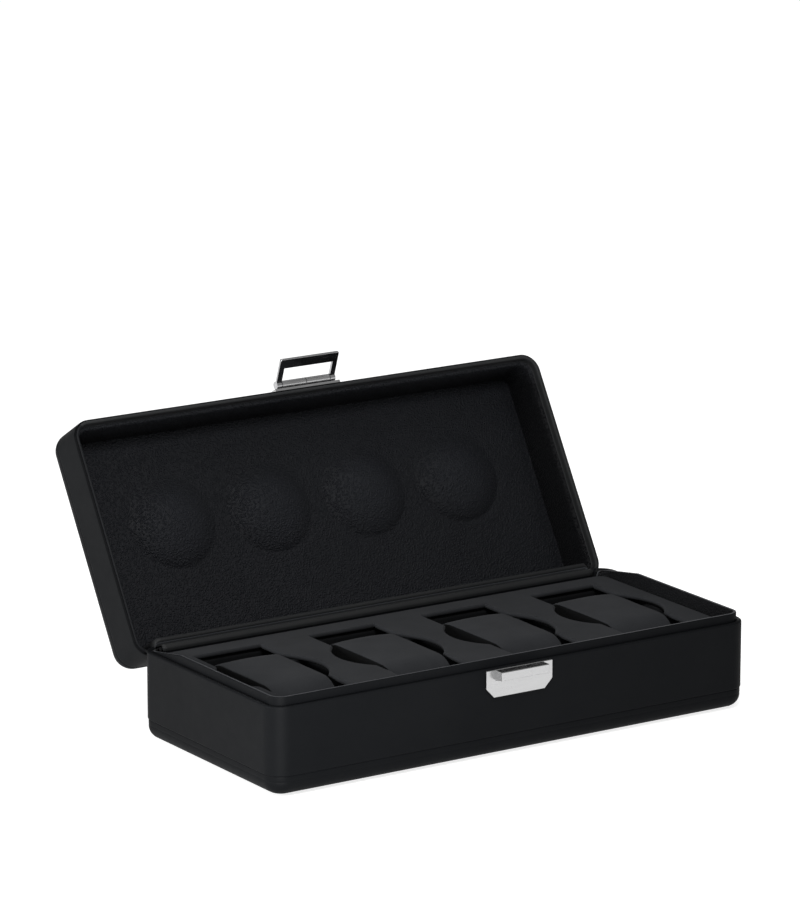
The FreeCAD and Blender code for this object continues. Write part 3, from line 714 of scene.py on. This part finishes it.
def pillow_mesh():
    G = pillow_grid()
    k, nt, _ = G.shape
    verts = list(G.reshape(-1, 3))
    faces = []
    for i in range(k - 1):
        for j in range(nt):
            j2 = (j + 1) % nt
            faces.append((i * nt + j, (i + 1) * nt + j, (i + 1) * nt + j2, i * nt + j2))
    for side in (0, k - 1):
        ring = [side * nt + j for j in range(nt)]
        loop = G[side]
        for s in (0.9, 0.78, 0.64, 0.48, 0.32, 0.16):
            start = len(verts)
            verts += [(p[0], p[1] * s, p[2] * s) for p in loop]
            faces += [(ring[j], ring[(j + 1) % nt], start + (j + 1) % nt, start + j) for j in range(nt)]
            ring = [start + j for j in range(nt)]
        verts.append((loop[0][0], 0, 0))
        faces += [(ring[j], ring[(j + 1) % nt], len(verts) - 1) for j in range(nt)]
    return np.array(verts), faces, k, nt


def swell(verts, faces, cap):
    """Inflates the sewn cover by cloth pressure with the seams held, then limits how far it moved."""
    ob = outward(add_object("swell_tmp", verts, faces))
    g = ob.vertex_groups.new(name="seam")
    hw = PILLOW_W / 2 + 0.8
    k, nt = p_rows
    held = list(range(3 * nt)) + list(range((k - 3) * nt, k * nt))
    g.add(held, 1.0, "REPLACE")
    c = ob.modifiers.new("cloth", "CLOTH")
    c.settings.quality = 6
    c.settings.mass = 0.12
    c.settings.tension_stiffness = 22
    c.settings.compression_stiffness = 22
    c.settings.shear_stiffness = 8
    c.settings.bending_stiffness = 2.0
    c.settings.use_pressure = True
    c.settings.uniform_pressure_force = 4.0
    c.settings.vertex_group_mass = "seam"
    c.settings.effector_weights.gravity = 0.0
    c.collision_settings.use_collision = False
    c.collision_settings.use_self_collision = False
    c.point_cache.frame_start = 1
    c.point_cache.frame_end = 20
    for f in range(1, 21):
        scene.frame_set(f)
    ev = ob.evaluated_get(bpy.context.evaluated_depsgraph_get())
    out = np.array([v.co for v in ev.data.vertices], float) / MM
    scene.frame_set(1)
    me = ob.data
    bpy.data.objects.remove(ob)
    bpy.data.meshes.remove(me)
    move = out - verts
    length = np.linalg.norm(move, axis=1, keepdims=True)
    move *= np.minimum(1.0, cap / np.maximum(length, 1e-9))
    return verts + move


p_verts, p_faces, p_k, p_nt = pillow_mesh()
p_rows = (p_k, p_nt)
p_soft = swell(p_verts, p_faces, 0.8)
zc = (PILLOW_Z0 + PILLOW_Z1) / 2
for i, x in enumerate(WELL_X):
    V = p_soft.copy()
    amp = np.array([noise.noise(Vector((v[0] / 17.0 + 7.3 * i, v[1] / 17.0, v[2] / 17.0))) for v in V])
    nrm = V / np.maximum(np.linalg.norm(V, axis=1, keepdims=True), 1e-6)
    V += nrm * (amp * 0.22)[:, None]
    # the sewn edge sits in a shallow valley beside each side panel
    hw = PILLOW_W / 2 + 0.8
    near = np.zeros(len(V))
    near[p_nt:2 * p_nt] = near[(p_k - 2) * p_nt:(p_k - 1) * p_nt] = 1.0
    V -= nrm * (near * 0.22)[:, None]
    V[:, 2] = np.maximum(V[:, 2], -(PILLOW_Z1 - PILLOW_Z0) / 2)
    V += np.array([x, WELL_Y, zc])
    ob = outward(add_object("pillow_%d" % (i + 1), V, p_faces))
    sub = ob.modifiers.new("smooth", "SUBSURF")
    sub.levels = 1
    sub.render_levels = 1
    finish_piece(ob, "pillow_%d" % (i + 1), M_PILLOW, "suede", "pillow_%d_cover" % (i + 1), "pillow_%d_foam" % (i + 1))
    ob.data.materials.append(M_SIDE)
    # The side caps and the rounded seam edges take the near-black suede copy: painted shade.
    for q, poly in enumerate(ob.data.polygons):
        if q >= (p_k - 1) * p_nt or q < p_nt or q >= (p_k - 2) * p_nt:
            poly.material_index = 1

# ---- lid leather: soft rounded shell with a rolled rim -----------------------------------
zr = Z_LID
lid_prof = ([(1.25, zr + 1.4), (1.15, zr + 0.62), (0.98, zr + 0.42), (0.82, zr + 0.33), (0.64, zr + 0.31), (0.44, zr + 0.42), (0.24, zr + 0.70), (0.09, zr + 1.15), (0.02, zr + 1.7), (0.0, zr + 2.4)]
            + [(0.0, zr + 6.0), (0.0, zr + 11.0), (0.0, zr + 16.0), (0.0, zr + 20.0), (0.0, zr + 22.4)])
z_arc = Z_TOP - R_TOP
seam_z = z_arc - 0.9
lid_prof += [(0.0, seam_z - 0.55), (0.10, seam_z - 0.22), (0.30, seam_z), (0.10, seam_z + 0.22), (0.0, seam_z + 0.55), (0.0, z_arc)]
lid_prof += [(R_TOP - R_TOP * math.cos(math.radians(a)), z_arc + R_TOP * math.sin(math.radians(a))) for a in (5, 10, 16, 22, 28, 34, 40, 46, 52, 58, 64, 70, 76, 82, 87, 90)]
path_lid = outline(HX, -HY, HY, R_CORNER)
P = sweep(path_lid, lid_prof)
N3 = np.zeros_like(P)
N3[:, :, :2] = path_lid[1][:, None, :]
P += N3 * np.minimum(wobble(P, 0.10, 42.0, 9.7), 0.0)[..., None]
n, m, _ = P.shape
verts = list(P.reshape(-1, 3))
faces = grid_faces(n, m)
ring = [i * m + m - 1 for i in range(n)]
loop = P[:, -1, :].copy()
for s in (0.996, 0.98, 0.93, 0.85, 0.74, 0.6, 0.45, 0.3, 0.15, 0.04):
    start = len(verts)
    top = np.stack([loop[:, 0] * s, loop[:, 1] * s, np.full(n, Z_TOP)], 1)
    verts += list(top)
    faces += [(ring[i], ring[(i + 1) % n], start + (i + 1) % n, start + i) for i in range(n)]
    ring = [start + i for i in range(n)]
verts.append((0, 0, Z_TOP))
faces += [(ring[i], ring[(i + 1) % n], len(verts) - 1) for i in range(n)]
lid = outward(add_object("lid_cover", to_open(np.array(verts)), faces))
so = lid.modifiers.new("thick", "SOLIDIFY")
so.thickness = 0.0008
so.offset = -1
finish_piece(lid, "lid", M_OUT, "leather_outer", "lid_leather")
lid.data.materials.append(M_GROOVE)
lid.data.materials.append(M_GROOVES)
# The groove rows of the rim take the darker leather copies: painted shade, less dark on the left side.
for k, poly in enumerate(lid.data.polygons):
    if k < n * (m - 1) and k % (m - 1) < 8:
        poly.material_index = 2 if path_lid[1][k // (m - 1), 0] < -0.6 else 1

# ---- lid lining: inner walls with a rolled edge, and the skirt in front of the hinge -------
path_lin = outline(HX, -HY, HY, R_CORNER, step=2.2)
# front and sides: a rolled edge that swells from the groove beside the outer leather into the padded wall
side_prof = ([(0.86, zr + 1.3), (0.86, zr + 0.7), (0.92, zr + 0.42), (1.1, zr + 0.26), (1.4, zr + 0.10), (1.8, zr + 0.0), (2.2, zr + 0.06), (2.56, zr + 0.34), (2.80, zr + 0.85), (2.91, zr + 1.6)]
             + [(2.93, 55.2), (2.97, 56.2), (3.3, 56.95), (3.9, 57.35), (4.5, 57.8), (4.95, 58.4), (5.15, 59.6), (5.35, 63.0), (5.6, 67.0), (5.9, 71.0), (6.2, 75.0), (6.4, 78.5), (6.5, Z_PANEL + 0.3), (6.5, Z_PANEL + 1.0)])
# back: the skirt in front of the hinge, ending in a full roll
SK0, SK1, SKR, SKZ = HY - 65.2, HY - LIN_B, 1.65, 49.4
roll = [(SK0 + SKR - SKR * math.cos(math.radians(t)), SKZ + SKR - SKR * math.sin(math.radians(t))) for t in (0, 15, 30, 46, 62, 78, 94, 110, 126, 142, 158, 170, 180)]
back_prof = [(SK0, 57.0), (SK0, 54.0), (SK0, 52.0)] + roll + [(SK1, 52.2), (SK1, 55.0), (SK1, 60.0), (SK1, 66.0), (SK1, 71.0), (SK1, 76.0), (SK1, Z_PANEL + 0.3), (SK1, Z_PANEL + 1.0)]
assert len(side_prof) == len(back_prof)
C, Nv, r = path_lin
A = sweep(path_lin, side_prof)
B = sweep(path_lin, back_prof)
w = (smoothstep(150.2, 147.6, np.abs(C[:, 0])) * (Nv[:, 1] > 0.99))[:, None, None]
P = A * (1 - w) + B * w
n, m, _ = P.shape
pad = wobble(P, 0.18, 26.0, 1.9)
P[:, 14:, :2] -= Nv[:, None, :] * pad[:, 14:, None] * (1 - w)
lining = outward(add_object("lid_lining", to_open(P.reshape(-1, 3)), grid_faces(n, m)))
so = lining.modifiers.new("thick", "SOLIDIFY")
so.thickness = 0.0005
so.offset = -1
finish_piece(lining, "lid", M_LINW, "leather_lining", "lid_lining_front", "lid_lining_back", "lid_lining_left", "lid_lining_right", "lid_lining_edge", "lid_lining_skirt")
lining.data.materials.append(M_ROLL)
lining.data.materials.append(M_FOLD_GLOW)
lining.data.materials.append(M_ROLLS)
# Rim rows and the skirt's roll take the lighter roll leather (painted light), the left side's rim rows its less bright
# copy, and the skirt's inner face the glowing fold copy (painted light).
for k, poly in enumerate(lining.data.polygons):
    if k % (m - 1) < 12 or (k % (m - 1) < 19 and w[k // (m - 1), 0, 0] > 0.5):
        poly.material_index = 1
    if k % (m - 1) < 6 and w[k // (m - 1), 0, 0] > 0.5:
        poly.material_index = 2
    elif k % (m - 1) < 12 and Nv[k // (m - 1), 0] < -0.6:
        poly.material_index = 3

# ---- leather strip that stands in front of the hinge barrel ---------------------------------
gus = [(66.55, 46.65), (65.75, 46.65), (65.75, 47.6), (65.75, 48.4)]
for t in np.linspace(180.0, 112.0, 13):
    rg = 3.75 + 0.36 * float(smoothstep(178.0, 150.0, t))
    gus.append((HINGE_Y + rg * math.cos(math.radians(t)), HINGE_Z + rg * math.sin(math.radians(t))))
for rg, t in ((4.05, 110.2), (3.9, 109.0), (3.65, 109.0), (3.5, 110.5), (3.4, 114.0), (3.25, 125.0), (3.1, 140.0), (3.0, 155.0), (2.95, 168.0), (2.95, 180.0)):
    gus.append((HINGE_Y + rg * math.cos(math.radians(t)), HINGE_Z + rg * math.sin(math.radians(t))))
xs = np.linspace(-147.4, 147.4, 120)
V = np.array([[(x, y, z) for y, z in gus] for x in xs])
dent = np.clip(wobble(V, 0.14, 16.0, 8.8), -0.14, 0.0)
V[:, 6:18, 1] -= dent[:, 6:18] * 0.7
V[:, 6:18, 2] += dent[:, 6:18] * 0.7
m = len(gus)
faces = grid_faces(len(xs), m, False, True) + [tuple(range(m)), tuple((len(xs) - 1) * m + j for j in range(m))]
gusset = outward(add_object("hinge_strip", V.reshape(-1, 3), faces))
finish_piece(gusset, "base", M_ROLL, "leather_lining", "hinge_gusset")
gusset.data.materials.append(M_OUT)
# The strip is in the lighter roll leather (painted light); its lowest rows keep the outer leather's dark colour, a
# painted shade line against the insert.
for k, poly in enumerate(gusset.data.polygons):
    if k < (len(xs) - 1) * m and k % m < 5:
        poly.material_index = 1

# ---- thin washers on the hinge axis between the knuckles, and a bush beyond each end -----------------
verts, faces = [], []
for x, half in [(-140.0 + 20.0 * i, 0.21) for i in range(1, 14)] + [(-144.5, 4.2), (144.5, 4.2)]:
    start = len(verts)
    for dx, rw in ((-half, 0.96), (-half, 1.70), (half, 1.70), (half, 0.96)):
        for q in range(24):
            t = 2 * math.pi * q / 24
            verts.append((x + dx, HINGE_Y + rw * math.cos(t), HINGE_Z + rw * math.sin(t)))
    faces += [(start + k * 24 + q, start + k * 24 + (q + 1) % 24, start + (k + 1) % 4 * 24 + (q + 1) % 24, start + (k + 1) % 4 * 24 + q)
              for k in range(4) for q in range(24)]
washers = outward(add_object("hinge_washers", verts, faces, False))
finish_piece(washers, "base", M_BLACK, "steel_black")

# ---- padded lid panel with four round bulges ---------------------------------------------
gx = np.linspace(-155.7, 155.7, 313)
gy = np.linspace(-66.7, 66.7, 135)
X, Y = np.meshgrid(gx, gy, indexing="ij")
H = np.zeros_like(X)
for cx in DOME_X:
    rr = np.hypot(X - cx, Y - DOME_Y) / DOME_R
    u = (Y - DOME_Y) / np.maximum(rr * DOME_R, 1e-6)
    u = u * np.clip(rr * 1.6, 0, 1)
    inside = np.clip(1 - rr * rr, 0, 1)
    # the padding sags: a crisp lower edge, a soft upper one
    cap = 0.8 * DOME_H * inside ** (1.22 - 0.36 * u)
    H = np.maximum(H, cap)
    H -= 0.5 * np.exp(-((rr - 1.015) * DOME_R / 1.1) ** 2) * smoothstep(-0.5, 0.6, u)
inset = np.minimum(np.minimum(LIN_X - np.abs(X), Y - LIN_F), LIN_B - Y)
H += 0.7 * smoothstep(0.0, 9.0, inset) - 0.5
H += np.array([noise.noise(Vector((x / 30.0, y / 30.0, 4.2))) for x, y in zip(X.ravel(), Y.ravel())]).reshape(X.shape) * 0.22
V = np.stack([X, Y, Z_PANEL - H], -1)
n, m = X.shape
faces = grid_faces(n, m, False, False)
top_v = V.reshape(-1, 3)
back_v = np.stack([X, Y, np.full_like(X, Z_PANEL + 1.15)], -1).reshape(-1, 3)
nb = len(top_v)
border = [i * m for i in range(n)] + [(n - 1) * m + j for j in range(1, m)] + [i * m + m - 1 for i in range(n - 2, -1, -1)] + [j for j in range(m - 2, 0, -1)]
back_ring = [(top_v[i][0], top_v[i][1], Z_PANEL + 1.15) for i in border]
verts = list(top_v) + back_ring
k = len(border)
faces += [(border[i], border[(i + 1) % k], nb + (i + 1) % k, nb + i) for i in range(k)]
faces.append(tuple(nb + i for i in range(k)))
panel = outward(add_object("lid_panel", to_open(np.array(verts)), faces))
finish_piece(panel, "lid", M_LIN, "leather_lining", "lid_panel_leather", "lid_dome_pads")

# ---- floor, light, camera --------------------------------------------------------------
bpy.ops.mesh.primitive_plane_add(size=14.0, location=(0, 1.0, 0))
floor = bpy.context.object
floor.name = "floor"
fm = Mat("floor")
fm.link(fm.ramp(fm.noise(3.0, 2.0), [(0.3, (0.50, 0.50, 0.50)), (0.7, (0.53, 0.53, 0.53))]), fm.b.inputs["Base Color"])
fm.set(Roughness=0.9, Specular_IOR_Level=0.1, Emission_Color=(1, 1, 1, 1), Emission_Strength=0.80)
wear(floor, fm.m)

scene.view_settings.view_transform = "Standard"
scene.view_settings.look = "None"
w = bpy.data.worlds.new("studio")
scene.world = w
w.use_nodes = True
w.node_tree.nodes["Background"].inputs["Color"].default_value = (1, 1, 1, 1)
w.node_tree.nodes["Background"].inputs["Strength"].default_value = 0.38


def area(name, loc, target, size, power, size_y=None):
    l = bpy.data.lights.new(name, "AREA")
    l.energy = power
    l.size = size
    if size_y:
        l.shape = "RECTANGLE"
        l.size_y = size_y
    o = bpy.data.objects.new(name, l)
    scene.collection.objects.link(o)
    o.location = loc
    o.rotation_euler = (Vector(target) - Vector(loc)).to_track_quat("-Z", "Y").to_euler()
    return o


area("key", (-0.22, -0.46, 0.75), (-0.02, 0.04, 0.08), 0.25, 5.5)
area("side", (-0.95, 0.20, 0.26), (-0.1, 0.0, 0.06), 0.30, 8.5)
low = area("low", (-0.37, -0.41, 0.09), (-0.12, -0.06, 0.04), 0.12, 4.2)
low.visible_camera = False
lit = bpy.data.collections.new("lit_low")
for ob in (wall, pan, lip, lid):
    lit.objects.link(ob)
low.light_linking.receiver_collection = lit
rear = area("rear", (0.35, 0.95, 0.80), (0, 0.10, 0.10), 0.5, 9.0)
rear.visible_camera = False
edge = bpy.data.collections.new("lit_rear")
for ob in (wall, pan, lid, lining):
    edge.objects.link(ob)
rear.light_linking.receiver_collection = edge
area("top", (-0.4, 0.1, 1.9), (0, 0, 0.05), 1.2, 9)

fw = Vector((math.sin(math.radians(33.299)) * math.cos(math.radians(14.1)),
             math.cos(math.radians(33.299)) * math.cos(math.radians(14.1)), -math.sin(math.radians(14.1))))
rt = Vector((math.cos(math.radians(33.299)), -math.sin(math.radians(33.299)), 0))
up = rt.cross(fw)
cam = bpy.data.cameras.new("camera")
cam.sensor_fit = "AUTO"
cam.sensor_width = 36.0
cam.lens = 5418.279 * 36.0 / 909.0
cam.clip_start, cam.clip_end = 0.05, 60.0
co = bpy.data.objects.new("camera", cam)
scene.collection.objects.link(co)
rot = Matrix((rt, up, -fw)).transposed()
co.matrix_world = Matrix.Translation((-1.641085, -2.449806, 0.897443)) @ rot.to_4x4()
scene.camera = co
